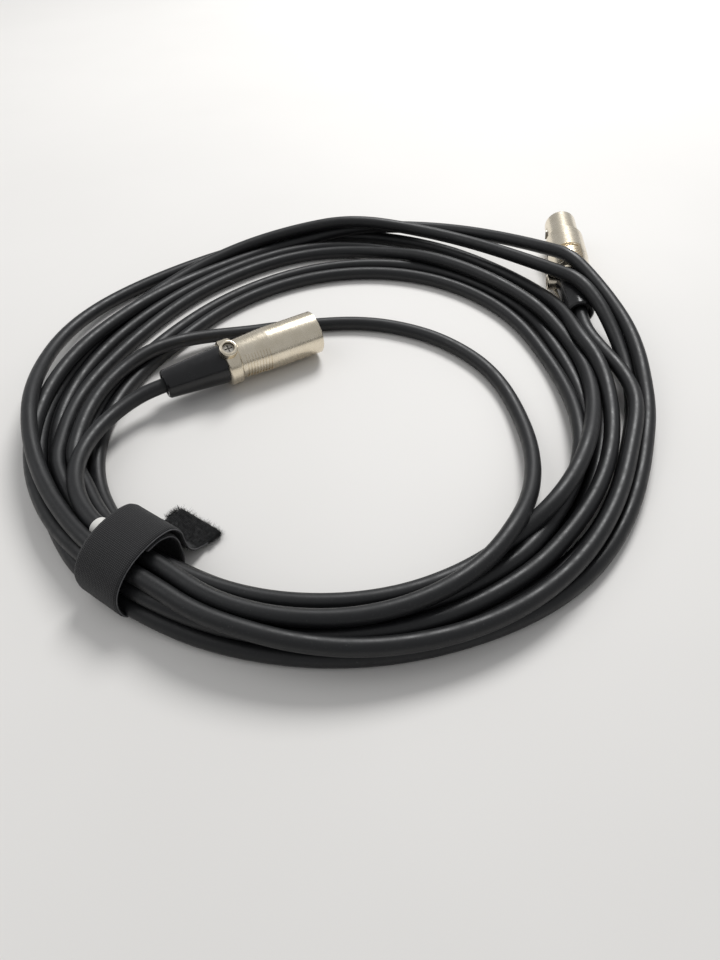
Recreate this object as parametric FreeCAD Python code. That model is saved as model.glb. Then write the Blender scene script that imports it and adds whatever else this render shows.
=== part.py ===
"""XLR microphone cable, wound into a loose coil and held by a hook-and-loop tie.

Units are millimetres. Z is up and the coil lies on z = 0. The parts are first placed about the
coil's own centre, and SHIFT then moves the whole object so that the origin is at the bottom centre
of its bounding box.
"""
import FreeCAD
import Part

import math
import os

from FreeCAD import Placement, Rotation, Vector

# ---------------------------------------------------------------- driving dimensions
SHIFT = Vector(6.46, 1.21, 0.0)  # coil centre -> middle of the object's bounding box

CABLE_R = 3.1                    # 6.2 mm jacket

SHELL_R = 9.5                    # 19 mm connector shell
MALE_BORE_R = 8.1                # takes the 15.9 mm nose of a female plug
NOSE_R = 7.95
NOSE_BORE_R = 7.0
TAPER_R = 8.6                    # shell radius where it meets the clamp ring
MALE_LENGTH = 38.5               # shell, front rim to clamp ring
FEMALE_LENGTH = 52.0
MALE_STRAIGHT = 24.0             # cylindrical front part of the male shell
FEMALE_STRAIGHT = 40.0           # nose and cylindrical part of the female shell
CAVITY_DEPTH = 14.0              # male shell, rim to the face of the insert

RING_WIDTH = 6.5                 # clamp ring
RING_R = 10.0
RING_BORE_R = 7.2
BOSS_R = 3.9                     # screw boss on the clamp ring
BOSS_TOP = 12.3                  # above the connector's axis

BOOT_LENGTH = 26.5
BOOT_R = 8.2                     # at the clamp ring
BOOT_END_R = 6.2                 # at the cable

PIN_R = 1.2                      # contact pin, 2.4 mm
CONTACT_R = 1.7                  # socket contact sleeve
PIN_CIRCLE_R = 4.0
PIN_ANGLES = (0.0, 180.0, 270.0)    # seen along the axis, the latch side is at 90

GRIP_INNER = 3.0                 # grip grooves cover each side of a shell, this far from its middle
GRIP_HALF = 5.6                  # and this far above and below it

AXIS_Z = 10.4                    # height of both connector axes, clamp ring just above z = 0

MALE_AT = Vector(-13.6, 29.4, AXIS_Z)      # centre of the male's front rim
MALE_YAW = 28.0                            # direction it points in, degrees from +X
MALE_RING_ROLL = 25.0                      # its clamp ring is turned about the axis, boss to -Y
FEMALE_AT = Vector(118.3, 118.2, AXIS_Z)
FEMALE_YAW = 83.5
FEMALE_ROLL = -95.0                        # the whole connector, its latch towards -X

LATCH_HALF_WIDTH = 2.1
LATCH_SLOT_HALF = 2.4
LATCH_PIVOT = Vector(-30.0, 0.0, 6.0)      # in the female connector's own frame
LATCH_PIN_R = 0.75
LATCH_HOLE_R = 0.80

STRAP_ANGLE = 233.0              # where the tie holds the coil
STRAP_WIDTH = 20.0
STRAP_T = 1.4

# Outer shape of the wound cable: angle, inner radius, outer radius, height inside, height outside.
COIL_SECTIONS = (
    (21, 84.0, 128.0, 6.6, 14.0),
    (51, 87.5, 129.5, 6.6, 20.0),
    (81, 89.5, 134.5, 6.6, 12.6),
    (111, 88.0, 136.5, 6.6, 12.6),
    (141, 89.5, 136.5, 6.6, 12.6),
    (171, 98.5, 139.5, 6.6, 12.6),
    (201, 106.0, 138.0, 8.0, 12.6),
    (231, 110.0, 136.4, 19.8, 14.4),
    (261, 111.2, 137.2, 17.0, 12.6),
    (291, 107.5, 138.5, 12.0, 12.6),
    (321, 96.5, 131.5, 8.0, 12.6),
    (351, 85.5, 126.5, 6.6, 12.6),
)
COIL_STEP = 15                   # degrees between the faces of the wound shape

# Cable routes outside the wound shape. The two tails start where the cable leaves the boots.
MALE_TAIL = (
    (-76.7, -4.2, 10.4), (-87.0, -10.9, 10.2), (-96.4, -23.8, 10.4), (-101.4, -39.8, 11.8),
    (-101.2, -56.6, 14.0), (-95.8, -72.6, 15.6), (-85.8, -86.6, 16.4),
)
INNER_TURN = (
    (-67.5, -103.3, 16.6), (-44.0, -118.5, 16.0), (-16.0, -127.0, 14.8), (13.0, -123.5, 13.6),
    (37.5, -107.5, 12.4), (56.0, -84.0, 10.4), (68.5, -56.5, 8.2), (71.5, -26.5, 6.0),
    (62.5, 2.5, 4.2), (43.5, 26.0, 3.4), (17.0, 41.0, 3.4), (-13.0, 46.0, 3.4),
    (-43.0, 44.5, 3.4), (-70.5, 34.0, 3.4), (-92.0, 13.5, 3.4), (-105.5, -13.5, 5.0),
    (-109.0, -41.0, 8.0),
)
FEMALE_TAIL = (
    (108.7, 33.8, 10.4), (107.8, 20.5, 10.4), (111.0, 6.8, 10.2), (115.4, -7.4, 10.0), (116.6, -22.4, 10.2),
    (113.4, -36.8, 10.8),
)


# ---------------------------------------------------------------- helpers
def cylinder_x(radius, x0, x1, y=0.0, z=0.0):
    """A cylinder along X, from x0 to x1."""
    return Part.makeCylinder(radius, x1 - x0, Vector(x0, y, z), Vector(1, 0, 0))


def cylinder_z(radius, z0, z1, x=0.0, y=0.0):
    return Part.makeCylinder(radius, z1 - z0, Vector(x, y, z0), Vector(0, 0, 1))


def box(x0, x1, y0, y1, z0, z1):
    return Part.makeBox(x1 - x0, y1 - y0, z1 - z0, Vector(x0, y0, z0))


def revolve(outline):
    """A solid of revolution about X from (x, radius) points."""
    points = [Vector(x, 0, r) for x, r in outline]
    face = Part.Face(Part.makePolygon(points + points[:1]))
    return face.revolve(Vector(0, 0, 0), Vector(1, 0, 0), 360)


def tube(route, radius, name):
    """Straight runs joined by tangent arcs. Returns the solid and prints its arc radii."""
    points = [Vector(*p) for p in route]
    edges, radii, start = [], [], points[0]
    for before, here, after in zip(points, points[1:], points[2:]):
        run_in, run_out = here - before, after - here
        turn = run_in.getAngle(run_out)
        leg = 0.45 * min(run_in.Length, run_out.Length)
        radii.append(leg / math.tan(turn / 2))
        enter = here - Vector(run_in).normalize() * leg
        leave = here + Vector(run_out).normalize() * leg
        centre_way = (enter + leave) * 0.5 - here
        sag = radii[-1] * (1 / math.cos(turn / 2) - 1)
        middle = here + Vector(centre_way).normalize() * sag
        edges.append(Part.LineSegment(start, enter).toShape())
        edges.append(Part.Arc(enter, middle, leave).toShape())
        start = leave
    edges.append(Part.LineSegment(start, points[-1]).toShape())
    path = Part.Wire(edges)
    length = path.Length
    ring = Part.Wire([Part.Circle(points[0], points[1] - points[0], radius).toShape()])
    solid = path.makePipeShell([ring], True, False)
    share = solid.Volume / (math.pi * radius ** 2 * length)
    print(f"{name}: length {length:.1f} mm, volume share {share:.4f}, "
          f"radii {[round(r) for r in radii]}")
    return solid


def smooth_at(rows, angle):
    """The rows' values at an angle, on a periodic curve through the rows."""
    step = 360.0 / len(rows)
    place = ((angle - rows[0][0]) % 360.0) / step
    i, t = int(place), place - int(place)
    four = [rows[(i + k) % len(rows)][1:] for k in (-1, 0, 1, 2)]
    return [b + 0.5 * t * (c - a + t * (2 * a - 5 * b + 4 * c - d + t * (3 * (b - c) + d - a)))
            for a, b, c, d in zip(*four)]


def turned(yaw, roll=0.0):
    """A connector's own frame, turned about its axis by roll and then about Z by yaw."""
    return Rotation(Vector(0, 0, 1), yaw).multiply(Rotation(Vector(1, 0, 0), roll))


def place(shape, at, yaw, roll=0.0):
    """Moves a part from a connector's own frame to the object."""
    moved = shape.copy()
    moved.Placement = Placement(at, turned(yaw, roll)).multiply(moved.Placement)
    return moved


PARTS = {}


def keep(name, shape):
    PARTS[name] = shape


# ---------------------------------------------------------------- connector pieces, in their own frame
def grip_grooves(x_first, count, radius_at):
    """Ring grooves cut into the two sides of a shell."""
    grooves = []
    for i in range(count):
        x = x_first - i * 1.35
        r = radius_at(x)
        ring = cylinder_x(r + 1.0, x - 0.65, x).cut(cylinder_x(r - 0.4, x - 0.65, x))
        for side in (1, -1):
            low, high = sorted((GRIP_INNER * side, 12.0 * side))
            grooves.append(ring.common(box(x - 1, x + 1, low, high, -GRIP_HALF, GRIP_HALF)))
    return grooves


def pin_places():
    return [(PIN_CIRCLE_R * math.cos(math.radians(a)), PIN_CIRCLE_R * math.sin(math.radians(a)))
            for a in PIN_ANGLES]


def insert_screw(x):
    """Retaining screw through the far side of a shell into the insert, and its hole."""
    screw = Part.makeCylinder(1.0, 2.8, Vector(x, 6.2, 0), Vector(0, 1, 0))
    slot = box(x - 1.5, x + 1.5, 8.7, 9.2, -0.2, 0.2)
    hole = Part.makeCylinder(1.0, 6.0, Vector(x, 6.2, 0), Vector(0, 1, 0))
    return screw.cut(slot), hole


def clamp_group(prefix, rear, at, yaw, roll):
    """Clamp ring with its screw boss, cable seat and shoe, clamp screw and boot behind a shell.

    rear is the local x of the shell's rear edge.
    """
    x0, x1 = rear - RING_WIDTH, rear
    middle = (x0 + x1) / 2
    boss_x = middle - 0.8

    ring = cylinder_x(RING_R, x0, x1)
    ring = ring.makeFillet(1.6, [e for e in ring.Edges if e.Length > 50 and len(e.Vertexes) == 1])
    boss = cylinder_z(BOSS_R, 5.0, BOSS_TOP, boss_x)
    boss = boss.makeFillet(0.7, [e for e in boss.Edges
                                 if abs(e.BoundBox.ZMin - BOSS_TOP) < 1e-6 and e.Length > 20])
    body = ring.fuse(boss)
    body = body.cut(cylinder_x(RING_BORE_R, x0 - 6, x1 + 1))
    body = body.cut(cylinder_z(1.5, 4.0, 13.0, boss_x))
    body = body.cut(cylinder_z(2.6, 10.0, 13.0, boss_x))
    # the boot's outside passes under the overhanging part of the boss
    body = body.cut(cylinder_x(BOOT_R + 0.1, x0 - 6, x0))
    keep(prefix + "_clamp_ring", place(body, at, yaw, roll))

    jaw0, jaw1 = x0 + 1.0, x1 - 1.6
    jaws = cylinder_x(RING_BORE_R, jaw0, jaw1).cut(cylinder_x(CABLE_R, jaw0 - 1, jaw1 + 1))
    seat = jaws.common(box(jaw0, jaw1, -8, 8, -8, -0.4))
    shoe = jaws.common(box(jaw0, jaw1, -5.5, 5.5, 0.4, 5.0))
    keep(prefix + "_clamp_seat", place(seat, at, yaw, roll))
    keep(prefix + "_clamp_shoe", place(shoe, at, yaw, roll))

    screw = cylinder_z(1.5, 5.0, 10.0, boss_x).fuse(cylinder_z(2.4, 10.0, 11.2, boss_x))
    for turn in (0, 90):
        cross = box(-1.7, 1.7, -0.3, 0.3, 10.5, 12.0)
        cross.rotate(Vector(0, 0, 0), Vector(0, 0, 1), turn)
        cross.translate(Vector(boss_x, 0, 0))
        screw = screw.cut(cross)
    keep(prefix + "_clamp_screw", place(screw.removeSplitter(), at, yaw, roll))

    end = x0 - BOOT_LENGTH
    boot = revolve((
        (x0 + 0.9, CABLE_R), (x0 + 0.9, RING_BORE_R), (x0, RING_BORE_R), (x0, BOOT_R),
        (x0 - 2.0, BOOT_R - 0.1), (end + 3.0, BOOT_END_R + 0.15), (end + 0.8, BOOT_END_R),
        (end, BOOT_END_R - 0.7), (end, 4.5), (end + 2.5, 4.3), (end + 2.5, CABLE_R)))
    keep(prefix + "_boot", place(boot, at, yaw))
    return end


def conductors(prefix, x_cup, x_jacket, at, yaw, roll=0.0):
    """Three insulated wires from the jacket's end to the solder cups."""
    wires = []
    for y, z in pin_places():
        a = Vector(x_jacket, y * 0.36, z * 0.36)
        b = Vector(x_cup, y, z)
        wires.append(Part.makeCylinder(0.7, (b - a).Length, a, b - a))
    keep(prefix + "_conductors", place(Part.makeCompound(wires), at, yaw, roll))


def male_connector():
    at, yaw = MALE_AT, MALE_YAW
    rear = -MALE_LENGTH

    def radius_at(x):
        back = max(0.0, -x - MALE_STRAIGHT) / (MALE_LENGTH - MALE_STRAIGHT)
        return SHELL_R + (TAPER_R - SHELL_R) * back

    shell = revolve((
        (0, MALE_BORE_R + 0.3), (0, SHELL_R - 0.3), (-0.3, SHELL_R), (-MALE_STRAIGHT, SHELL_R),
        (rear, TAPER_R), (rear, RING_BORE_R), (rear - 1.5, RING_BORE_R), (rear - 1.5, 6.0),
        (-29.0, 6.0), (-29.0, MALE_BORE_R), (-0.3, MALE_BORE_R)))
    for groove in grip_grooves(-25.4, 9, radius_at):
        shell = shell.cut(groove)
    screw, hole = insert_screw(-21.0)
    shell = shell.cut(hole)
    # the window that a mating latch drops into
    window = box(-11.0, -8.2, 5.0, 12.0, 2.0, 6.5)
    shell = shell.cut(window)
    keep("male_shell", place(shell, at, yaw))
    keep("male_insert_screw", place(screw, at, yaw))

    insert = cylinder_x(MALE_BORE_R, -27.0, -CAVITY_DEPTH)
    insert = insert.cut(cylinder_x(6.4, -30.0, -24.0)).cut(hole)
    for number, (y, z) in enumerate(pin_places(), 1):
        insert = insert.cut(cylinder_x(PIN_R, -30.0, -CAVITY_DEPTH + 1, y, z))
        tip = Part.makeSphere(PIN_R, Vector(-2.2, y, z))
        pin = cylinder_x(PIN_R, -30.0, -2.2, y, z).fuse(tip).removeSplitter()
        pin = pin.cut(cylinder_x(0.7, -31.0, -27.5, y, z))
        keep(f"male_pin_{number}", place(pin, at, yaw))
    keep("male_insert", place(insert, at, yaw))
    conductors("male", -28.2, -37.0, at, yaw)
    return clamp_group("male", rear, at, yaw, MALE_RING_ROLL)


def female_latch(at, yaw, roll):
    """Lever, pivot pin and leaf spring of the latch, and the cuts that they need."""
    px, pz = LATCH_PIVOT.x, LATCH_PIVOT.z
    outline = ((-7.4, 5.2), (-7.4, 6.6), (-8.6, 8.4), (-10.4, 8.7), (-10.4, 6.9), (-19.0, 6.9),
               (-20.2, 10.6), (-25.4, 10.6), (-26.6, 7.1), (px - 1.4, 7.3), (px - 1.8, 6.0),
               (px - 1.4, 4.7), (px, 4.6), (-26.0, 5.2))
    points = [Vector(x, -LATCH_HALF_WIDTH, z) for x, z in outline]
    lever = Part.Face(Part.makePolygon(points + points[:1])).extrude(
        Vector(0, 2 * LATCH_HALF_WIDTH, 0))
    for x in (-21.4, -22.8, -24.2):
        lever = lever.cut(box(x - 0.25, x + 0.25, -3, 3, 10.2, 11.0))
    lever = lever.cut(Part.makeCylinder(LATCH_HOLE_R, 8, Vector(px, -4, pz), Vector(0, 1, 0)))
    keep("female_latch_lever", place(lever, at, yaw, roll))

    pin = Part.makeCylinder(LATCH_PIN_R, 11.6, Vector(px, -5.8, pz), Vector(0, 1, 0))
    keep("female_latch_pin", place(pin, at, yaw, roll))

    strip = [Vector(-12.0, -1.5, 2.6), Vector(-12.0, -1.5, 2.9), Vector(-15.0, -1.5, 5.2),
             Vector(-16.6, -1.5, 5.2), Vector(-19.6, -1.5, 2.9), Vector(-19.6, -1.5, 2.6),
             Vector(-19.2, -1.5, 2.6), Vector(-16.4, -1.5, 4.8), Vector(-15.2, -1.5, 4.8),
             Vector(-12.4, -1.5, 2.6)]
    spring = Part.Face(Part.makePolygon(strip + strip[:1])).extrude(Vector(0, 3.0, 0))
    keep("female_latch_spring", place(spring, at, yaw, roll))

    slot = box(-33.2, -6.4, -LATCH_SLOT_HALF, LATCH_SLOT_HALF, 2.6, 12.0)
    return slot, pin


def female_connector():
    at, yaw, roll = FEMALE_AT, FEMALE_YAW, FEMALE_ROLL
    rear = -FEMALE_LENGTH

    def radius_at(x):
        back = max(0.0, -x - FEMALE_STRAIGHT) / (FEMALE_LENGTH - FEMALE_STRAIGHT)
        return SHELL_R + (TAPER_R - SHELL_R) * back

    shell = revolve((
        (0, NOSE_BORE_R), (0, NOSE_R - 0.5), (-0.5, NOSE_R), (-17.0, NOSE_R), (-19.5, SHELL_R),
        (-FEMALE_STRAIGHT, SHELL_R), (rear, TAPER_R), (rear, RING_BORE_R), (rear - 1.5, RING_BORE_R),
        (rear - 1.5, 6.0), (-34.5, 6.0), (-34.5, NOSE_BORE_R)))
    for groove in grip_grooves(-36.5, 10, radius_at):
        shell = shell.cut(groove)
    screw, hole = insert_screw(-25.0)
    slot, latch_pin = female_latch(at, yaw, roll)
    shell = shell.cut(hole).cut(slot).cut(latch_pin)
    keep("female_shell", place(shell, at, yaw, roll))
    keep("female_insert_screw", place(screw, at, yaw, roll))

    insert = cylinder_x(NOSE_BORE_R, -28.0, -0.6).cut(slot).cut(hole)
    insert = insert.cut(cylinder_x(5.6, -30.0, -24.0))
    insert = insert.cut(cylinder_x(8.0, -1.8, 0.0).cut(cylinder_x(6.3, -2.0, 1.0)))
    for number, (y, z) in enumerate(pin_places(), 1):
        insert = insert.cut(cylinder_x(CONTACT_R, -30.0, 0.0, y, z))
        socket = cylinder_x(CONTACT_R, -24.0, -0.6, y, z).fuse(cylinder_x(PIN_R, -32.0, -24.0, y, z))
        socket = socket.cut(cylinder_x(PIN_R, -13.0, 0.0, y, z))
        socket = socket.cut(cylinder_x(0.7, -33.0, -28.5, y, z))
        keep(f"female_contact_{number}", place(socket, at, yaw, roll))
    keep("female_insert", place(insert, at, yaw, roll))
    seal = cylinder_x(NOSE_BORE_R, -1.8, -0.4).cut(cylinder_x(6.3, -2.0, 0.0))
    keep("female_seal_ring", place(seal, at, yaw, roll))
    conductors("female", -29.4, -49.0, at, yaw, roll)
    return clamp_group("female", rear, at, yaw, roll)


# ---------------------------------------------------------------- cable, tie and marker
def coil_solid():
    """The wound turns as one closed ring, cut back round the things that lie in it."""
    sections = []
    for angle in range(0, 360, COIL_STEP):
        r_in, r_out, h_in, h_out = smooth_at(COIL_SECTIONS, angle)
        out = Vector(math.cos(math.radians(angle)), math.sin(math.radians(angle)), 0)
        up = Vector(0, 0, 1)
        corners = (out * (r_in + 2), out * (r_out - 2), out * r_out + up * 3,
                   out * (r_out - 1) + up * (h_out - 3), out * (r_out - 4) + up * h_out,
                   out * (r_in + 4) + up * h_in, out * r_in + up * min(h_in - 3, 5))
        sections.append(Part.makePolygon(list(corners) + [corners[0]]))
    ring = Part.makeLoft(sections + sections[:1], True, True)
    return ring


def strap_frame(shape):
    """Moves a part from the tie's own frame: X along the cable, Y outwards from the coil."""
    stand = Placement(Vector(0, 0, 0), Rotation(Vector(0, 0, 1), STRAP_ANGLE - 90.0))
    moved = shape.copy()
    moved.Placement = stand.multiply(moved.Placement)
    return moved


def rounded_loop(points, radius):
    """A closed wire of straight runs with rounded corners, in the YZ plane."""
    corners = [Vector(0, y, z) for y, z in points]
    n, edges, ends = len(corners), [], []
    for i in range(n):
        here, before, after = corners[i], corners[i - 1], corners[(i + 1) % n]
        a, b = (before - here).normalize(), (after - here).normalize()
        half = a.getAngle(b) / 2
        leg = radius / math.tan(half)
        middle = here + (a + b).normalize() * (radius / math.sin(half) - radius)
        ends.append((here + a * leg, middle, here + b * leg))
    for i in range(n):
        edges.append(Part.Arc(*ends[i]).toShape())
        edges.append(Part.LineSegment(ends[i][2], ends[(i + 1) % n][0]).toShape())
    return Part.Wire(edges)


STRAP_INSIDE = ((108.6, STRAP_T), (136.0, STRAP_T), (136.0, 12.0), (127.5, 20.6), (108.6, 20.6))


def strap_solids():
    """The band round the cable, and its free end that stands off on the inner side."""
    inner = rounded_loop(STRAP_INSIDE, 3.2)
    outer = inner.makeOffset2D(STRAP_T)
    along = Vector(STRAP_WIDTH, 0, 0)
    hole = Part.Face(inner).extrude(along)
    band = Part.Face(outer).extrude(along).cut(hole)
    start = Vector(-STRAP_WIDTH / 2, 0, 0)
    band.translate(start)
    hole.translate(start)

    root_y, tip_y = STRAP_INSIDE[0][0] - STRAP_T, 95.0
    outline = [Vector(0, root_y, 4.0), Vector(0, root_y - 2.0, 1.2), Vector(0, tip_y, 0.0),
               Vector(0, tip_y, STRAP_T), Vector(0, root_y - 1.4, 1.2 + STRAP_T),
               Vector(0, root_y, 7.0)]
    tab = Part.Face(Part.makePolygon(outline + outline[:1])).extrude(Vector(STRAP_WIDTH - 4, 0, 0))
    tab.translate(Vector(-STRAP_WIDTH / 2 + 2, 0, 0))
    return strap_frame(band), strap_frame(hole), strap_frame(tab)


def connector_space(at, yaw, roll, length):
    """The room that a connector takes, with a small gap round it."""
    gap = 0.4
    rear = -length
    room = cylinder_x(SHELL_R + gap, rear, 1.0).fuse(cylinder_x(RING_R + gap, rear - RING_WIDTH, rear))
    room = room.fuse(cylinder_x(BOOT_R + gap, rear - RING_WIDTH - BOOT_LENGTH - 1, rear))
    proud = cylinder_z(BOSS_R + gap, 0, BOSS_TOP + gap, rear - RING_WIDTH / 2 - 0.8)
    proud = proud.fuse(box(-27.0, -19.0, -3.0, 3.0, 0, 11.0))
    proud.rotate(Vector(0, 0, 0), Vector(1, 0, 0), roll)
    room = room.fuse(proud)
    room = room.fuse(box(rear - RING_WIDTH, 1.0, -RING_R - gap, RING_R + gap, -AXIS_Z - 1, 0))
    room = room.fuse(box(rear - RING_WIDTH - BOOT_LENGTH - 1, rear, -BOOT_R - gap, BOOT_R + gap,
                         -AXIS_Z - 1, 0))
    return place(room, at, yaw)


def tail_solid(name, route, at, yaw, boot_end, stripped_end):
    """The cable from its stripped end inside a shell, through the boot and along its route."""
    axis = Rotation(Vector(0, 0, 1), yaw).multVec(Vector(1, 0, 0))
    exit_point = at + axis * boot_end
    print(f"{name}: boot ends at {tuple(round(v, 1) for v in exit_point)}")
    inside = place(cylinder_x(CABLE_R, boot_end, stripped_end), at, yaw)
    outside = tube([tuple(exit_point)] + list(route[1:]), CABLE_R, name)
    return inside.fuse(outside).removeSplitter()


def cable():
    strap, strap_hole, tab = strap_solids()
    keep("tie_band", strap)
    keep("tie_free_end", tab)

    male_end = male_connector()
    female_end = female_connector()

    coil = coil_solid()
    # at the tie the turns are pressed together inside the band
    block = strap_frame(box(-STRAP_WIDTH / 2, STRAP_WIDTH / 2, 80, 160, -5, 40))
    coil = coil.cut(block).fuse(coil.common(block).common(strap_hole))
    coil = coil.cut(connector_space(FEMALE_AT, FEMALE_YAW, FEMALE_ROLL, FEMALE_LENGTH)).removeSplitter()

    keep("cable_coil", coil)
    keep("cable_inner_turn", tube(INNER_TURN, CABLE_R, "inner turn"))
    # the jacket runs on inside each boot, to where it is stripped
    keep("cable_male_tail", tail_solid("male tail", MALE_TAIL, MALE_AT, MALE_YAW, male_end, -37.0))
    keep("cable_female_tail",
         tail_solid("female tail", FEMALE_TAIL, FEMALE_AT, FEMALE_YAW, female_end, -49.0))


def marker():
    """Short white marker sleeve on the male end's tail."""
    a, b = Vector(*MALE_TAIL[5]), Vector(*MALE_TAIL[6])
    way = (b - a).normalize()
    start = a + way * ((b - a).Length * 0.5)
    outer = Part.makeCylinder(CABLE_R + 0.45, 6.0, start, way)
    inner = Part.makeCylinder(CABLE_R, 6.0, start, way)
    keep("marker_sleeve", outer.cut(inner))


cable()
marker()

os.makedirs("parts", exist_ok=True)
for name, shape in PARTS.items():
    shape = shape.copy()
    shape.Placement = Placement(SHIFT, Rotation()).multiply(shape.Placement)
    if not shape.isValid():
        print("not valid:", name)
    print(f"{name}: {len(shape.Solids)} solid(s), {shape.Volume:.1f} mm3")
    shape.exportStep(f"parts/{name}.step")
whole = Part.makeCompound([s for s in PARTS.values()])
box_all = whole.optimalBoundingBox(False)
print("bounds about the coil centre:", [round(v, 2) for v in (
    box_all.XMin, box_all.XMax, box_all.YMin, box_all.YMax, box_all.ZMin, box_all.ZMax)])
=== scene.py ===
"""Looks of the XLR microphone cable, wound into a loose coil and held by a hook-and-loop tie.

Metres, Z up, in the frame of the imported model. Sizes below are in millimetres about the coil's own
centre, and on_object() turns them into the object's frame.
"""

import math
import random

import bpy
import numpy as np
from mathutils import Matrix, Vector


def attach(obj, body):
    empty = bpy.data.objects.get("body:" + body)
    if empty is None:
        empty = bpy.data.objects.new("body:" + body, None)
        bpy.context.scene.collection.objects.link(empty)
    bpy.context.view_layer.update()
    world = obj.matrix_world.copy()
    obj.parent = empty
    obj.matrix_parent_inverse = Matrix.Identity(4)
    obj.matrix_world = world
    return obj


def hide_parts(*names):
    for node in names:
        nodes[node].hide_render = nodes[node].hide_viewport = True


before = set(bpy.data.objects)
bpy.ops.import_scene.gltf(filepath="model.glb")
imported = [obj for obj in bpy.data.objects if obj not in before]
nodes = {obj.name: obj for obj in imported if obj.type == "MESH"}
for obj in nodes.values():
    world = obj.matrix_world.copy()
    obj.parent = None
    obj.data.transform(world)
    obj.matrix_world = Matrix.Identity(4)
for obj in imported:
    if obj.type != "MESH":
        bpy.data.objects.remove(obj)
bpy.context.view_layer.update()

MM = 0.001
SHIFT = (6.46, 1.21, 0.0)        # coil centre -> the object's origin

CABLE_R = 3.1
MALE_AT, MALE_YAW = (-13.6, 29.4, 10.4), 28.0       # centre of the front rim, and where it points
FEMALE_AT, FEMALE_YAW = (118.3, 118.2, 10.4), 83.5
TIE_ANGLE, TIE_WIDTH, TIE_THICKNESS = 233.0, 20.0, 1.3


def on_object(x, y, z):
    return Vector(((x + SHIFT[0]) * MM, (y + SHIFT[1]) * MM, (z + SHIFT[2]) * MM))


# ---------------------------------------------------------------- camera
def make_camera():
    data = bpy.data.cameras.new("camera")
    data.lens, data.sensor_width = 26.86, 36.0
    data.clip_start, data.clip_end = 0.01, 20.0
    camera = bpy.data.objects.new("camera", data)
    bpy.context.scene.collection.objects.link(camera)
    right = Vector((0.998874, -0.034309, -0.032777))
    down = Vector((-0.047449, -0.722259, -0.689993))
    back = right.cross(-down)
    turn = Matrix((right, -down, back)).transposed()
    camera.matrix_world = Matrix.Translation(on_object(3.856, -245.227, 198.855)) @ turn.to_4x4()
    bpy.context.scene.camera = camera


make_camera()

# ---------------------------------------------------------------- the cable's line
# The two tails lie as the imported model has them.
MALE_TAIL = (
    (-76.7, -4.2, 10.4), (-87.0, -10.9, 10.2), (-96.4, -23.8, 10.4), (-101.4, -39.8, 11.8),
    (-101.2, -56.6, 14.0), (-95.8, -72.6, 15.6), (-85.8, -86.6, 16.4),
)
FEMALE_TAIL = (
    (108.7, 33.8, 10.4), (107.8, 20.5, 10.4), (111.0, 6.8, 10.2), (115.4, -7.4, 10.0), (116.6, -22.4, 10.2),
    (113.4, -36.8, 10.8),
)

PITCH = 6.3                      # turns that touch lie this far apart
FLOOR = 3.12                     # height of the line of a turn that lies on the table
STEP = 7.5                       # degrees from one control point to the next
PER_TURN = 48
CROSSING = 2                     # turns that change places within this many points pass over each other

# Where each turn passes through the tie: radius and height.
TIE_SLOTS = {
    "top_1": (120.3, 15.5), "top_2": (127.2, 15.4),
    "mid_1": (117.2, 10.05), "mid_2": (123.5, 10.05), "mid_3": (129.8, 10.05),
    "low_1": (114.0, 4.6), "low_2": (120.3, 4.6), "low_3": (126.6, 4.6), "low_4": (132.9, 4.6),
}
# Each turn from the tie round to the tie again: its name, its slot in the tie, and its radius at
# every LANE_STEP degrees from 276 on. The first turn leaves the bundle and runs inside it. It and the
# last have a radius at every half step from 246 on.
LANE_STEP = 30
FIRST_LANE = 13                  # degrees from the tie to 246
TURNS = (
    ("inner", "top_1", (125.5, 126.5, 125.5, 117.5, 103, 88.4, 76, 68, 61.6, 55.5, 51.3, 47.9, 46.2, 45.5,
                        45.9, 48, 54.4, 62.9, 81, 96, 106, 112.5, 116)),
    ("turn_1", "mid_1", (120, 111, 102.5, 102.5, 99.5, 103.5, 114.6, 108.4, 106, 116.5, 121.5)),
    ("turn_2", "mid_2", (121, 112, 99.5, 89.5, 91.5, 93, 90, 86, 86, 101, 115)),
    ("turn_3", "low_1", (115.5, 111, 101.5, 97.5, 99.5, 101.5, 97.5, 92, 92.8, 105.5, 117)),
    ("turn_4", "low_2", (121, 117, 108, 108, 106, 111, 120.8, 114.6, 115, 122, 123.5)),
    ("turn_5", "low_3", (127, 125, 119.5, 121, 117, 122, 127.5, 126.6, 122, 127, 129)),
    ("turn_6", "low_4", (132, 132.5, 121.5, 124.5, 126.5, 131, 127, 120.7, 119.7, 128, 131)),
    ("turn_7", "mid_3", (127, 118.5, 111, 106.5, 113.5, 124, 133.2, 132.6, 140, 129.5, 126.5)),
    ("last", "top_2", (131, 133, 134.5, 133.5, 128.5, 122, 118)),
)
FULL_TURN_LANES = 11
LAYER = {"inner": 9, "last": 8, "turn_1": 2.5, "turn_2": 1, "turn_3": 1.2, "turn_4": 0.5, "turn_5": 3,
         "turn_6": 1, "turn_7": 6}
# Where a turn lies higher or lower than that: from one angle to another, and its layer there.
LAYER_CHANGES = {
    "inner": ((140, 232, 2.8),),
    "turn_1": ((300, 360, 5), (0, 85, 5), (232, 300, 4.5)),
    "turn_2": ((232, 360, 3),),
    "turn_5": ((60, 115, 6), (120, 232, 1)),
    "turn_6": ((30, 115, 4.5), (120, 232, 3.5)),
    "turn_7": ((25, 130, 1.5),),
}


def layer(name, angle):
    """Which turn lies over which where they cross."""
    for first, last, there in LAYER_CHANGES.get(name, ()):
        if first <= angle < last:
            return there
    return LAYER[name]


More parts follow.
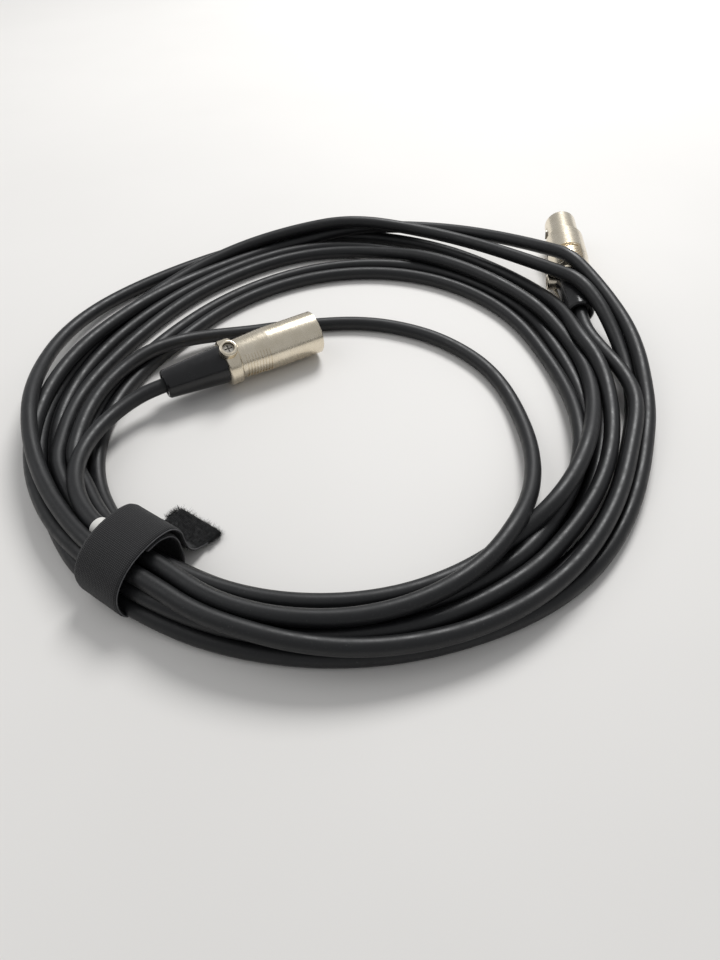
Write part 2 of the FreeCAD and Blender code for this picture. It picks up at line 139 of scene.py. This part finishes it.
def through(xs, ys, x):
    """A smooth curve through unevenly spaced values."""
    i = min(max(int(np.searchsorted(xs, x)) - 1, 0), len(xs) - 2)

    def slope(k):
        a, b = max(k - 1, 0), min(k + 1, len(xs) - 1)
        return (ys[b] - ys[a]) / (xs[b] - xs[a])

    run = xs[i + 1] - xs[i]
    t = (x - xs[i]) / run
    return ((2 * t**3 - 3 * t * t + 1) * ys[i] + (t**3 - 2 * t * t + t) * run * slope(i)
            + (-2 * t**3 + 3 * t * t) * ys[i + 1] + (t**3 - t * t) * run * slope(i + 1))


# The female connector's outline along its axis, as the turns that pass over it meet it.
SHELL_END, RING_END, PAST_BOOT, PAST_NOSE = -52, -58.5, -87, 2
SHELL_R, RING_R, BOOT_R, BOOT_SLOPE = 9.5, 10.0, 8.2, 2 / 28
PASS_GAP = 0.1
OVER_CONNECTOR = ("turn_5", "turn_6")


def female_top(x, y):
    """Height that a turn needs to pass over the female connector."""
    way = math.radians(FEMALE_YAW)
    dx, dy = x - FEMALE_AT[0], y - FEMALE_AT[1]
    along = math.cos(way) * dx + math.sin(way) * dy
    across = -math.sin(way) * dx + math.cos(way) * dy
    if not PAST_BOOT <= along <= PAST_NOSE:
        return 0
    if along > SHELL_END:
        radius = SHELL_R
    elif along > RING_END:
        radius = RING_R
    else:
        radius = BOOT_R + (along - RING_END) * BOOT_SLOPE
    reach = radius + CABLE_R + PASS_GAP
    return FEMALE_AT[2] + math.sqrt(reach**2 - across**2) if abs(across) < reach else 0


def turn_lanes():
    """Name, radius and layer of every control point round the coil, and the points that the tie holds."""
    names, lanes, layers, held = [], [], [], []
    for k, (name, slot, radii) in enumerate(TURNS):
        slot_r = TIE_SLOTS[slot][0]
        after = TIE_SLOTS[TURNS[k + 1][1]][0] if k + 1 < len(TURNS) else None
        if len(radii) == FULL_TURN_LANES:
            xs = [0, FIRST_LANE] + [FIRST_LANE + LANE_STEP * (i + 1) for i in range(len(radii))]
            ys = [slot_r, slot_r] + list(radii)
        else:
            xs = [0] + [FIRST_LANE + LANE_STEP / 2 * i for i in range(len(radii))]
            ys = [slot_r] + list(radii)
        if after:
            xs.append(360)
            ys.append(after)
        held.append((len(lanes), TIE_SLOTS[slot]))
        for i in range(int(xs[-1] / STEP) + (0 if after else 1)):
            names.append(name)
            lanes.append(through(xs, ys, i * STEP))
            layers.append(layer(name, (TIE_ANGLE + i * STEP) % 360))
    return names, np.array(lanes, float), np.array(layers, float), held


def from_front(angle):
    """Counts an angle from -Y, so that neither tail runs across the end of the count."""
    return (angle + 90) % 360


def tail_sections(angle):
    """Radius and height of each tail that passes an angle."""
    found = []
    for tail in (MALE_TAIL, tuple(reversed(FEMALE_TAIL))):
        places = [(from_front(math.degrees(math.atan2(y, x))), math.hypot(x, y), z) for x, y, z in tail]
        for (a, r, z), (b, r_next, z_next) in zip(places, places[1:]):
            if a <= from_front(angle) < b:
                t = (from_front(angle) - a) / (b - a)
                found.append((r + t * (r_next - r), z + t * (z_next - z)))
    return found


ROUNDS = 420                     # of settling
PASSES = 2                       # over all the sections in a round
FAST_SHARE = 0.6                 # of the rounds, in which the turns sink fast
SINK_FAST, SINK_SLOW = 0.25, 0.08
LAYER_RISE = 1.5                 # starting height from one layer to the next
TO_LANE = 0.10                   # share of the way back to its lane that a turn goes in a round
STIFF_ACROSS, STIFF_UP = 0.10, 0.30
SAME_PLACE = 1.5                 # turns closer than this are pushed apart by layer


def settled():
    """Lets the turns sink on each other, one radial section at a time, until they lie side by side."""
    names, lanes, layers, held = turn_lanes()
    count = len(lanes)
    angles = np.radians(TIE_ANGLE + STEP * np.arange(count))
    radius, height = lanes.copy(), FLOOR + layers * LAYER_RISE
    sections = []
    for first in range(PER_TURN):
        section = list(range(first, count, PER_TURN))
        pairs = []
        for a, i in enumerate(section):
            for j in section[a + 1:]:
                before = lanes[max(j - CROSSING, 0)] - lanes[max(i - CROSSING, 0)]
                after = lanes[min(j + CROSSING, count - 1)] - lanes[min(i + CROSSING, count - 1)]
                pairs.append((i, j, before * after < 0, layers[j] >= layers[i]))
        sections.append((section, pairs, tail_sections((TIE_ANGLE + STEP * first) % 360)))
    for turn in range(ROUNDS):
        height -= SINK_FAST if turn < ROUNDS * FAST_SHARE else SINK_SLOW
        radius += TO_LANE * (lanes - radius)
        for values, share in ((radius, STIFF_ACROSS), (height, STIFF_UP)):
            bend = np.zeros(count)
            bend[1:-1] = 0.5 * (values[:-2] + values[2:]) - values[1:-1]
            values += share * bend
        for section, pairs, tails in sections * PASSES:
            for i, j, crossing, j_over in pairs:
                dr, dz = radius[j] - radius[i], height[j] - height[i]
                apart = math.hypot(dr, dz)
                if crossing and abs(dr) < PITCH:
                    rise = math.sqrt(PITCH**2 - dr * dr) - (dz if j_over else -dz)
                    if rise > 0:
                        height[i] -= rise / 2 if j_over else -rise / 2
                        height[j] += rise / 2 if j_over else -rise / 2
                elif apart < PITCH:
                    push = (PITCH - apart) / 2
                    if apart < SAME_PLACE:
                        dr, dz = 0.2 * dr / max(apart, 0.1), (1 if j_over else -1)
                        apart = math.hypot(dr, dz)
                    radius[i] -= dr / apart * push
                    height[i] -= dz / apart * push
                    radius[j] += dr / apart * push
                    height[j] += dz / apart * push
            for i in section:
                for r, z in tails:
                    dr, dz = radius[i] - r, height[i] - z
                    apart = max(math.hypot(dr, dz), 0.1)
                    if apart < PITCH:
                        radius[i] += dr / apart * (PITCH - apart)
                        height[i] += dz / apart * (PITCH - apart)
                height[i] = max(height[i], FLOOR)
                if names[i] in OVER_CONNECTOR:
                    x, y = radius[i] * math.cos(angles[i]), radius[i] * math.sin(angles[i])
                    height[i] = max(height[i], female_top(x, y))
        for i, (r, z) in held:
            radius[i], height[i] = r, z
            for k in (i - 1, i + 1):
                if 0 <= k < count:
                    radius[k] += 0.5 * (r - radius[k])
                    height[k] += 0.5 * (z - height[k])
    grow = 1 / (0.75 + 0.25 * math.cos(math.radians(STEP)))   # the spline runs inside its points
    return [(r * grow * math.cos(a), r * grow * math.sin(a), z) for r, a, z in zip(radius, angles, height)]


IN_BOOT = 9                      # how far the cable's line runs into each boot


def cable_line():
    """Control points from inside the male boot to inside the female boot."""
    inside_male, inside_female = [
        Vector(tail[0]) + IN_BOOT * Vector((math.cos(math.radians(yaw)), math.sin(math.radians(yaw)), 0))
        for tail, yaw in ((MALE_TAIL, MALE_YAW), (FEMALE_TAIL, FEMALE_YAW))]
    return ([tuple(inside_male)] + list(MALE_TAIL) + settled() + list(reversed(FEMALE_TAIL))
            + [tuple(inside_female)])


SMOOTHNESS, ROUNDNESS = 6, 5     # of the cable's mesh, along it and round it


def make_cable():
    line = cable_line()
    curve = bpy.data.curves.new("cable", "CURVE")
    curve.dimensions = "3D"
    spline = curve.splines.new("NURBS")
    spline.points.add(len(line) - 1)
    for point, place in zip(spline.points, line):
        point.co = (*on_object(*place), 1)
    spline.order_u = 3
    spline.use_endpoint_u = True
    spline.resolution_u = curve.resolution_u = SMOOTHNESS
    curve.use_fill_caps = True
    obj = bpy.data.objects.new("cable", curve)
    bpy.context.scene.collection.objects.link(obj)
    bare = bpy.data.meshes.new_from_object(obj)
    path = [Vector(v.co) for v in bare.vertices]
    bpy.data.meshes.remove(bare)
    curve.bevel_depth = CABLE_R * MM
    curve.bevel_resolution = ROUNDNESS
    return obj, path


cable, cable_path = make_cable()


# ---------------------------------------------------------------- materials
class Shader:
    """A principled material with short calls for the nodes that it is made of."""

    def __init__(self, name, colour, roughness, metallic=0.0):
        self.material = bpy.data.materials.new(name)
        self.material.use_nodes = True
        self.tree = self.material.node_tree
        self.shader = self.tree.nodes["Principled BSDF"]
        self.shader.inputs["Base Color"].default_value = (*colour, 1)
        self.shader.inputs["Roughness"].default_value = roughness
        self.shader.inputs["Metallic"].default_value = metallic
        self.place = self.tree.nodes.new("ShaderNodeTexCoord").outputs["Object"]

    def set(self, **values):
        for name, value in values.items():
            self.shader.inputs[name.replace("_", " ")].default_value = value
        return self

    def link(self, out, into):
        self.tree.links.new(out, into)

    def local(self, at, yaw, scale=(1, 1, 1)):
        """Coordinates in a connector's own frame, X along its axis, stretched by scale."""
        first = self.tree.nodes.new("ShaderNodeMapping")
        first.vector_type = "TEXTURE"
        first.inputs["Location"].default_value = on_object(*at)
        first.inputs["Rotation"].default_value = (0, 0, math.radians(yaw))
        self.link(self.place, first.inputs["Vector"])
        second = self.tree.nodes.new("ShaderNodeMapping")
        second.inputs["Scale"].default_value = scale
        self.link(first.outputs[0], second.inputs["Vector"])
        return second.outputs[0]

    def noise(self, scale, detail=4.0, rough=0.55, place=None):
        node = self.tree.nodes.new("ShaderNodeTexNoise")
        node.inputs["Scale"].default_value = scale
        node.inputs["Detail"].default_value = detail
        node.inputs["Roughness"].default_value = rough
        self.link(place or self.place, node.inputs["Vector"])
        return node.outputs["Fac"]

    def ramp(self, value, low, high, first, last):
        """Turns value from low..high into first..last."""
        node = self.tree.nodes.new("ShaderNodeMapRange")
        for name, number in (("From Min", low), ("From Max", high), ("To Min", first), ("To Max", last)):
            node.inputs[name].default_value = number
        self.link(value, node.inputs["Value"])
        return node.outputs["Result"]

    def mix(self, share, first, second):
        node = self.tree.nodes.new("ShaderNodeMix")
        node.data_type = "RGBA"
        self.link(share, node.inputs["Factor"])
        for socket, colour in ((node.inputs["A"], first), (node.inputs["B"], second)):
            if isinstance(colour, tuple):
                socket.default_value = (*colour, 1)
            else:
                self.link(colour, socket)
        return node.outputs["Result"]

    def math(self, kind, a, b):
        node = self.tree.nodes.new("ShaderNodeMath")
        node.operation = kind
        for socket, value in zip(node.inputs, (a, b)):
            if isinstance(value, (int, float)):
                socket.default_value = value
            else:
                self.link(value, socket)
        return node.outputs[0]

    def colour(self, out):
        self.link(out, self.shader.inputs["Base Color"])

    def roughness(self, out):
        self.link(out, self.shader.inputs["Roughness"])

    def bump(self, height, distance, strength=1.0):
        node = self.tree.nodes.new("ShaderNodeBump")
        node.inputs["Distance"].default_value = distance
        node.inputs["Strength"].default_value = strength
        if self.shader.inputs["Normal"].links:
            self.link(self.shader.inputs["Normal"].links[0].from_socket, node.inputs["Normal"])
        self.link(height, node.inputs["Height"])
        self.link(node.outputs[0], self.shader.inputs["Normal"])


def jacket_material():
    s = Shader("jacket", (0.012, 0.012, 0.013), 0.42).set(Specular_IOR_Level=0.38)
    cloudy = s.noise(45, 3)
    dust = s.ramp(s.noise(1400, 5, 0.7), 0.60, 0.72, 0.0, 1.0)
    base = s.mix(cloudy, (0.0062, 0.0064, 0.0070), (0.0120, 0.0125, 0.0135))
    s.colour(s.mix(s.math("MULTIPLY", dust, 0.3), base, (0.11, 0.11, 0.11)))
    s.roughness(s.ramp(s.noise(260, 4), 0.3, 0.7, 0.36, 0.52))
    s.bump(s.noise(320, 3), 0.00012, 0.35)
    s.bump(s.noise(2600, 2), 0.00003, 0.4)
    return s.material


def nickel_material(name, at, yaw):
    """Satin nickel plating on a die casting."""
    s = Shader(name, (0.66, 0.61, 0.52), 0.3, 1.0)
    around = s.local(at, yaw, (3, 1, 1))
    stain = s.noise(140, 4, 0.6)
    s.colour(s.mix(s.ramp(stain, 0.35, 0.7, 0, 1), (0.84, 0.76, 0.62), (0.74, 0.66, 0.52)))
    s.roughness(s.ramp(s.noise(600, 4, 0.6, around), 0.3, 0.7, 0.22, 0.30))
    s.bump(s.noise(220, 2, 0.5), 0.00003, 0.25)
    return s.material


def boot_material():
    s = Shader("boot_rubber", (0.013, 0.013, 0.014), 0.3).set(Specular_IOR_Level=0.45)
    s.colour(s.mix(s.noise(180, 4), (0.005, 0.005, 0.0055), (0.010, 0.010, 0.011)))
    s.roughness(s.ramp(s.noise(300, 3), 0.3, 0.7, 0.20, 0.28))
    s.bump(s.noise(120, 2), 0.00015, 0.3)
    return s.material


def metal_material(name, light, dark, rough):
    s = Shader(name, light, rough, 1.0)
    s.colour(s.mix(s.noise(500, 4), light, dark))
    s.roughness(s.ramp(s.noise(1500, 3), 0.3, 0.7, rough - 0.06, rough + 0.08))
    s.bump(s.noise(2500, 2), 0.00001, 0.4)
    return s.material


def plastic_material(name, light, dark, rough, grain=2400):
    s = Shader(name, light, rough)
    s.colour(s.mix(s.noise(300, 4), light, dark))
    s.roughness(s.ramp(s.noise(900, 3), 0.3, 0.7, rough - 0.06, rough + 0.08))
    s.bump(s.noise(grain, 2), 0.00002, 0.4)
    return s.material


def weave_material():
    """Woven nylon face of the tie: ribs along and across it, from the band's own UVs in metres."""
    s = Shader("tie_weave", (0.016, 0.016, 0.017), 0.75).set(Sheen_Weight=0.06, Sheen_Roughness=0.5)
    uv = s.tree.nodes.new("ShaderNodeTexCoord").outputs["UV"]
    waves = []
    for axis, pitch in (("X", 0.0007), ("Y", 0.0006)):
        node = s.tree.nodes.new("ShaderNodeTexWave")
        node.bands_direction = axis
        node.inputs["Scale"].default_value = 2 * math.pi / (pitch * 20)
        node.inputs["Distortion"].default_value = 0.6
        node.inputs["Detail Scale"].default_value = 3.0
        s.link(uv, node.inputs["Vector"])
        waves.append(node.outputs["Fac"])
    ribs = s.math("MULTIPLY", waves[0], waves[1])
    thread = s.mix(ribs, (0.004, 0.004, 0.0045), (0.020, 0.020, 0.022))
    lint = s.ramp(s.noise(1900, 5, 0.75), 0.63, 0.74, 0.0, 0.45)
    s.colour(s.mix(lint, thread, (0.07, 0.07, 0.07)))
    s.roughness(s.ramp(ribs, 0, 1, 0.85, 0.6))
    s.bump(ribs, 0.00022, 0.9)
    return s.material


JACKET = jacket_material()
MALE_NICKEL = nickel_material("satin_nickel_male", MALE_AT, MALE_YAW)
FEMALE_NICKEL = nickel_material("satin_nickel_female", FEMALE_AT, FEMALE_YAW)
BOOT = boot_material()
SCREW = metal_material("screw_steel", (0.42, 0.40, 0.36), (0.25, 0.23, 0.20), 0.38)
LATCH = metal_material("latch_steel", (0.60, 0.58, 0.54), (0.45, 0.43, 0.38), 0.32)
SPRING = metal_material("spring_steel", (0.50, 0.50, 0.50), (0.38, 0.38, 0.38), 0.28)
CONTACT = metal_material("contact_metal", (0.82, 0.80, 0.75), (0.66, 0.62, 0.52), 0.2)
INSULATOR = plastic_material("insulator", (0.014, 0.014, 0.015), (0.024, 0.024, 0.025), 0.45)
WIRES = plastic_material("core_insulation", (0.45, 0.06, 0.04), (0.36, 0.05, 0.03), 0.4)
SEAL = plastic_material("seal_rubber", (0.02, 0.02, 0.02), (0.03, 0.03, 0.03), 0.6)
MARKER = plastic_material("marker_white", (0.78, 0.77, 0.74), (0.66, 0.65, 0.61), 0.45, 900)
WEAVE = weave_material()
PILE = plastic_material("tie_pile", (0.010, 0.010, 0.011), (0.022, 0.022, 0.023), 0.8)
SELVEDGE = plastic_material("tie_selvedge", (0.05, 0.05, 0.053), (0.12, 0.12, 0.125), 0.7)


def node_material(name):
    """The material of a CAD node, from the end of its name."""
    nickel = MALE_NICKEL if name.startswith("male") else FEMALE_NICKEL
    for ending, material in (
            ("insert_screw", SCREW), ("clamp_screw", SCREW), ("shell", nickel), ("clamp_ring", nickel),
            ("latch_lever", LATCH), ("latch_pin", SPRING), ("latch_spring", SPRING), ("seal_ring", SEAL),
            ("boot", BOOT), ("conductors", WIRES), ("insert", INSULATOR), ("clamp_seat", INSULATOR),
            ("clamp_shoe", INSULATOR), ("sleeve", MARKER)):
        if name.endswith(ending):
            return material
    if "_pin_" in name or "_contact_" in name:
        return CONTACT
    return JACKET


for node_name, node in nodes.items():
    node.data.materials.clear()
    node.data.materials.append(node_material(node_name))


def finish_piece(obj, material, slot, *replaced):
    """Material, shading, body and the CAD nodes that a piece stands for. The slot argument is not used."""
    obj.data.materials.append(material)
    if obj.type == "MESH":
        for face in obj.data.polygons:
            face.use_smooth = True
    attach(obj, "cable")
    if replaced:
        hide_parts(*replaced)
    return obj


def mesh_object(name, vertices, faces, uvs=None):
    mesh = bpy.data.meshes.new(name)
    mesh.from_pydata([tuple(v) for v in vertices], [], faces)
    if uvs is not None:
        layer_uv = mesh.uv_layers.new(name="UVMap")
        for loop in mesh.loops:
            layer_uv.data[loop.index].uv = uvs[loop.vertex_index]
    mesh.validate()
    obj = bpy.data.objects.new(name, mesh)
    bpy.context.scene.collection.objects.link(obj)
    return obj


finish_piece(cable, JACKET, "cable_jacket",
             "cable_coil", "cable_inner_turn", "cable_male_tail", "cable_female_tail")


# ---------------------------------------------------------------- marker sleeve
def tube_along(name, path, radii, sides=28):
    """A tube round a path, with a radius for each of its points. Its last ring joins its first."""
    vertices, faces = [], []
    for k, (place, radius) in enumerate(zip(path, radii)):
        way = (path[min(k + 1, len(path) - 1)] - path[max(k - 1, 0)]).normalized()
        side = way.cross(Vector((0, 0, 1))).normalized()
        up = side.cross(way)
        for i in range(sides):
            a = 2 * math.pi * i / sides
            vertices.append(place + (side * math.cos(a) + up * math.sin(a)) * radius * MM)
    for k in range(len(path) - 1):
        for i in range(sides):
            j = (i + 1) % sides
            faces.append((k * sides + i, k * sides + j, (k + 1) * sides + j, (k + 1) * sides + i))
    last = (len(path) - 1) * sides
    for i in range(sides):                      # the inner wall
        j = (i + 1) % sides
        faces.append((last + i, last + j, j, i))
    return mesh_object(name, vertices, faces)


def at_length(path, length):
    """The point that far along a path, in metres."""
    gone = 0.0
    for a, b in zip(path, path[1:]):
        run = (b - a).length
        if gone + run >= length:
            return a.lerp(b, (length - gone) / run)
        gone += run
    return path[-1]


MARKER_START, MARKER_LENGTH = 104.7, 10.0       # along the cable from its start in the male boot


def make_marker():
    profile = ((0.0, 3.0), (0.0, 3.35), (0.15, 3.5), (0.4, 3.55), (2.5, 3.53), (5.0, 3.56), (7.5, 3.53),
               (9.6, 3.55), (9.85, 3.5), (10.0, 3.35), (10.0, 3.0))
    path = [at_length(cable_path, (MARKER_START + x) * MM) for x, _ in profile]
    way = (at_length(cable_path, (MARKER_START + MARKER_LENGTH) * MM)
           - at_length(cable_path, MARKER_START * MM)).normalized() * MM
    path[0] = path[1] - way * 0.01
    path[-1] = path[-2] + way * 0.01
    obj = tube_along("marker_ring", path, [r for _, r in profile])
    return finish_piece(obj, MARKER, "marker_white", "marker_sleeve")


marker = make_marker()


# ---------------------------------------------------------------- the tie
# The strap's line in the tie's own section: distance from the coil's centre, and height. It starts at
# the loose tip on the inner side, goes up and once round the cables, and ends under itself.
TIE_LINE = (
    (91.5, 1.2), (95.5, 1.6), (100.0, 2.6), (104.0, 4.6), (106.1, 8.2), (106.7, 12.5), (107.1, 17.0),
    (109.9, 21.2), (115.5, 23.0), (122.5, 22.8), (128.5, 21.0), (133.5, 17.4), (136.5, 12.6),
    (136.9, 7.0), (135.1, 2.6), (130.5, 0.8), (122.5, 0.7), (114.5, 0.8), (110.1, 2.0), (108.9, 5.6),
    (108.8, 10.0), (109.1, 14.6), (110.9, 18.6), (115.1, 21.0), (120.5, 21.2),
)


def in_tie(x, r, z):
    """From the tie's own frame, X along the cable and r outwards from the coil, to the object's."""
    a = math.radians(TIE_ANGLE)
    return on_object(r * math.cos(a) + x * math.sin(a), r * math.sin(a) - x * math.cos(a), z)


def strap_line(step=0.8):
    """Points close together along the strap's line, with the direction of its outer face."""
    points = [Vector(p) for p in TIE_LINE]
    points = [points[0] * 2 - points[1]] + points + [points[-1] * 2 - points[-2]]
    line = []
    for a, b, c, d in zip(points, points[1:], points[2:], points[3:]):
        n = max(2, round((c - b).length / step))
        for k in range(n):
            t = k / n
            line.append(b + 0.5 * t * (c - a + t * (2 * a - 5 * b + 4 * c - d + t * (3 * (b - c) + d - a))))
    line.append(points[-2])
    out = []
    for k, place in enumerate(line):
        way = (line[min(k + 1, len(line) - 1)] - line[max(k - 1, 0)]).normalized()
        out.append((place, Vector((-way.y, way.x))))
    return out


STRAP = strap_line()
ACROSS = 20                      # strips across the width
TAB_STATIONS = 16                # of the strap, along its loose tip
LIFT = 0.05                      # the lowest point of the strap above the table
WAVE = 0.075                     # how far its face swells and dips
SELVEDGE_R, SELVEDGE_LIFT = 0.26, 0.35


def strap_place(k, share, depth, low=LIFT):
    """A point of the strap: station k, share of the width from -0.5 to 0.5, and depth from its middle."""
    place, outward = STRAP[k]
    wave = WAVE * math.sin(k * 0.11 + share * 2.0)
    r, z = place + outward * (depth + wave)
    return in_tie(share * TIE_WIDTH, r, max(z, low))


def make_band():
    vertices, faces, uvs = [], [], []
    half = TIE_THICKNESS / 2
    shares = [i / ACROSS - 0.5 for i in range(ACROSS + 1)]
    ring = [(s, half) for s in shares] + [(s, -half) for s in reversed(shares)]
    gone = 0.0
    for k in range(len(STRAP)):
        if k:
            gone += (STRAP[k][0] - STRAP[k - 1][0]).length
        for share, depth in ring:
            edge = min(1.0, (0.5 - abs(share)) * ACROSS)
            vertices.append(strap_place(k, share, depth * (0.55 + 0.45 * edge)))
            uvs.append(((share + 0.5) * TIE_WIDTH * MM, gone * MM + (1 if depth < 0 else 0)))
    n = len(ring)
    for k in range(len(STRAP) - 1):
        for i in range(n):
            j = (i + 1) % n
            faces.append((k * n + i, k * n + j, (k + 1) * n + j, (k + 1) * n + i))
    faces.append(tuple(reversed(range(n))))
    faces.append(tuple(range((len(STRAP) - 1) * n, len(STRAP) * n)))
    obj = mesh_object("tie_strap", vertices, faces, uvs)
    finish_piece(obj, WEAVE, "tie_fabric", "tie_band", "tie_free_end")
    return obj, gone * MM


tie, tie_length = make_band()


def fibre(vertices, faces, root, way, side, length, width, curl):
    """One short curved fibre, three sided and tapered."""
    rings, sides = 4, 3
    first = len(vertices)
    for k in range(rings):
        t = k / (rings - 1)
        centre = root + way * length * t + side * curl * t * t
        radius = width * (1 - 0.7 * t)
        third = way.cross(side).normalized()
        for i in range(sides):
            a = 2 * math.pi * i / sides
            place = centre + (side * math.cos(a) + third * math.sin(a)) * radius
            vertices.append(Vector((place.x, place.y, max(place.z, LIFT * MM))))
    for k in range(rings - 1):
        for i in range(sides):
            j = (i + 1) % sides
            a = first + k * sides
            faces.append((a + i, a + j, a + sides + j, a + sides + i))
    faces.append((first + 2, first + 1, first))
    last = first + (rings - 1) * sides
    faces.append((last, last + 1, last + 2))


PILE_FIBRES, TAB_FIBRES, TIP_FIBRES = 5200, 2600, 900
FIBRE_R = 0.05
TIP_STATIONS = 9                 # of the strap, along which its edges are frayed


def make_pile():
    """Loop pile on the strap's inner face and frayed fibres round its tip."""
    rng = random.Random(7)
    vertices, faces = [], []
    half = TIE_THICKNESS / 2
    for _ in range(PILE_FIBRES):
        k = rng.randrange(2, len(STRAP) - 2)
        share = rng.uniform(-0.49, 0.49)
        root = strap_place(k, share, -half)
        out = (strap_place(k, share, -half - 1) - root).normalized()
        along = (strap_place(k + 1, share, -half) - root).normalized()
        side = (along * rng.uniform(-1, 1) + out.cross(along) * rng.uniform(-1, 1)).normalized()
        way = (out + side * rng.uniform(0.1, 0.7)).normalized()
        fibre(vertices, faces, root, way, side, rng.uniform(0.4, 0.9) * MM, FIBRE_R * MM,
              rng.uniform(0.1, 0.5) * MM)
    for _ in range(TAB_FIBRES):                 # the tab's upper face
        k, share = rng.randrange(0, TAB_STATIONS), rng.uniform(-0.5, 0.5)
        root = strap_place(k, share, half)
        way = Vector((rng.uniform(-1, 1), rng.uniform(-1, 1), rng.uniform(0.5, 1.2))).normalized()
        side = way.cross(Vector((rng.uniform(-1, 1), rng.uniform(-1, 1), 0.3))).normalized()
        fibre(vertices, faces, root, way, side, rng.uniform(0.5, 1.3) * MM, FIBRE_R * MM,
              rng.uniform(0.2, 0.8) * MM)
    for _ in range(TIP_FIBRES):                 # the cut tip and its two corners
        k = rng.randrange(0, TIP_STATIONS)
        share = rng.choice((-0.5, 0.5)) if k else rng.uniform(-0.5, 0.5)
        root = strap_place(k, share, rng.uniform(-half, half))
        back = (strap_place(k, share, 0) - strap_place(k + 1, share, 0)).normalized()
        across = (strap_place(k, 0.5, 0) - strap_place(k, -0.5, 0)).normalized()
        way = back * (1.0 if k == 0 else 0.3) + across * (0.2 if k == 0 else math.copysign(0.8, share))
        way = way + Vector((rng.uniform(-0.5, 0.5), rng.uniform(-0.5, 0.5), rng.uniform(0.0, 0.7)))
        side = Vector((rng.uniform(-1, 1), rng.uniform(-1, 1), rng.uniform(0, 1))).normalized()
        fibre(vertices, faces, root, way.normalized(), side, rng.uniform(0.6, 2.2) * MM, FIBRE_R * MM,
              rng.uniform(0.2, 1.0) * MM)
    return finish_piece(mesh_object("tie_pile", vertices, faces), PILE, "tie_fabric")


def make_selvedge():
    """The bound edges of the strap."""
    vertices, faces = [], []
    sides = 6
    for share in (-0.5, 0.5):
        first = len(vertices)
        for k in range(len(STRAP)):
            centre = strap_place(k, share, 0, SELVEDGE_LIFT)
            out = (strap_place(k, share, 1, SELVEDGE_LIFT) - centre).normalized()
            across = (strap_place(k, 0.5, 0) - strap_place(k, -0.5, 0)).normalized()
            radius = (SELVEDGE_R + 0.03 * math.sin(k * 2.1)) * MM
            for i in range(sides):
                a = 2 * math.pi * i / sides
                vertices.append(centre + (out * math.cos(a) + across * math.sin(a)) * radius)
        for k in range(len(STRAP) - 1):
            for i in range(sides):
                j = (i + 1) % sides
                a = first + k * sides
                faces.append((a + i, a + j, a + sides + j, a + sides + i))
        faces.append(tuple(first + i for i in reversed(range(sides))))
        last = first + (len(STRAP) - 1) * sides
        faces.append(tuple(last + i for i in range(sides)))
    return finish_piece(mesh_object("tie_selvedge", vertices, faces), SELVEDGE, "tie_fabric")


pile = make_pile()
selvedge = make_selvedge()


# ---------------------------------------------------------------- stage and light
def make_floor():
    mesh = bpy.data.meshes.new("floor")
    mesh.from_pydata([(-3, -2, 0), (3, -2, 0), (3, 4, 0), (-3, 4, 0)], [], [(0, 1, 2, 3)])
    floor = bpy.data.objects.new("floor", mesh)
    bpy.context.scene.collection.objects.link(floor)
    s = Shader("floor_paper", (0.80, 0.80, 0.79), 0.6)
    s.colour(s.mix(s.noise(6, 3), (0.74, 0.725, 0.70), (0.80, 0.785, 0.76)))
    mesh.materials.append(s.material)


def make_light(name, place, size, power):
    data = bpy.data.lights.new(name, "AREA")
    data.shape, data.size, data.energy = "DISK", size, power
    light = bpy.data.objects.new(name, data)
    bpy.context.scene.collection.objects.link(light)
    light.location = place
    light.rotation_mode = "QUATERNION"
    light.rotation_quaternion = (-Vector(place)).to_track_quat("-Z", "Y")


def make_world():
    world = bpy.data.worlds.new("world")
    world.use_nodes = True
    world.node_tree.nodes["Background"].inputs[0].default_value = (0.97, 0.98, 1.0, 1)
    world.node_tree.nodes["Background"].inputs[1].default_value = 0.44
    bpy.context.scene.world = world
    bpy.context.scene.view_settings.view_transform = "Standard"


make_floor()
make_world()
make_light("key", (0.30, 0.85, 1.0), 0.55, 13.5)
make_light("fill", (-0.8, 0.1, 0.9), 0.9, 2.0)
